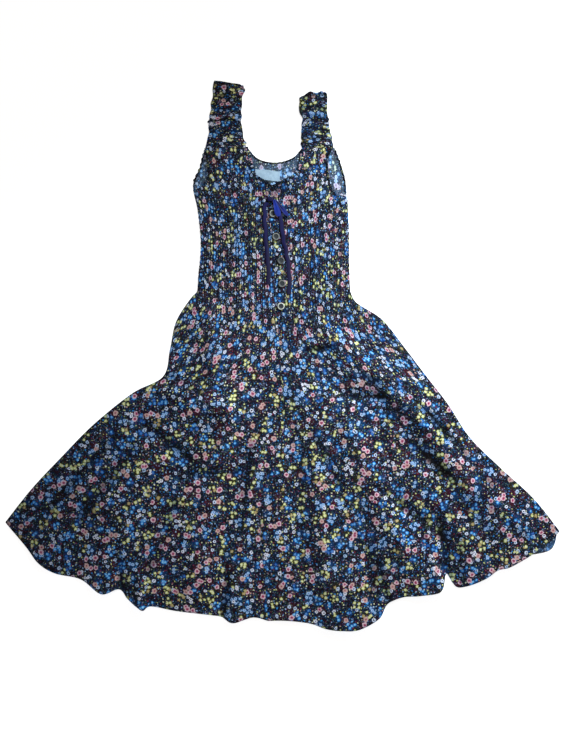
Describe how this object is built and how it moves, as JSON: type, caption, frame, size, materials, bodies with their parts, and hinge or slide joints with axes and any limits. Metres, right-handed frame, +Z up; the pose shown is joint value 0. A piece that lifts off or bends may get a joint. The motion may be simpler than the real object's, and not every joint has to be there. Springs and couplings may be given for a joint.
{
  "type": "sundress",
  "caption": "Sleeveless floral sundress laid flat, with a shirred buttoned bodice, ruched straps, a ribbon bow at the neck and a flared skirt.",
  "frame": {"origin": "on the surface the dress lies on, under the middle of its outline", "axes": "+Z up out of the cloth, +Y from the hem towards the shoulders, +X to the viewer's right as the front is looked down on"},
  "size_m": [1.108, 1.0981, 0.0167],
  "materials": {
    "floral_cloth": "light woven cotton printed with small flowers on a near-black navy ground",
    "wrong_side": "the same cloth's paler wrong side",
    "dark_edge": "narrow turned and gathered edges",
    "satin_ribbon": "violet-blue satin ribbon with a soft sheen",
    "button_shell": "polished shell-like plastic with a pale rim and a smoky centre",
    "label_tape": "blank woven tape"
  },
  "bodies": {
    "root": {"front_skirt_left": "floral_cloth", "front_skirt_right": "floral_cloth", "front_bodice_left": "floral_cloth", "front_bodice_right": "floral_cloth", "placket": "floral_cloth", "strap_left": "floral_cloth", "strap_right": "floral_cloth", "back_bodice": "wrong_side", "back_skirt": "wrong_side", "neck_casing_left": "dark_edge", "neck_casing_right": "dark_edge", "back_neck_binding": "dark_edge", "armhole_front_left": "dark_edge", "armhole_front_right": "dark_edge", "armhole_back_left": "dark_edge", "armhole_back_right": "dark_edge", "ribbon_knot": "satin_ribbon", "ribbon_loop_left": "satin_ribbon", "ribbon_loop_right": "satin_ribbon", "ribbon_tail_left": "satin_ribbon", "ribbon_tail_right": "satin_ribbon", "button_1": "button_shell", "button_2": "button_shell", "button_3": "button_shell", "button_4": "button_shell", "button_5": "button_shell", "neck_label": "label_tape"}
  },
  "joints": []
}
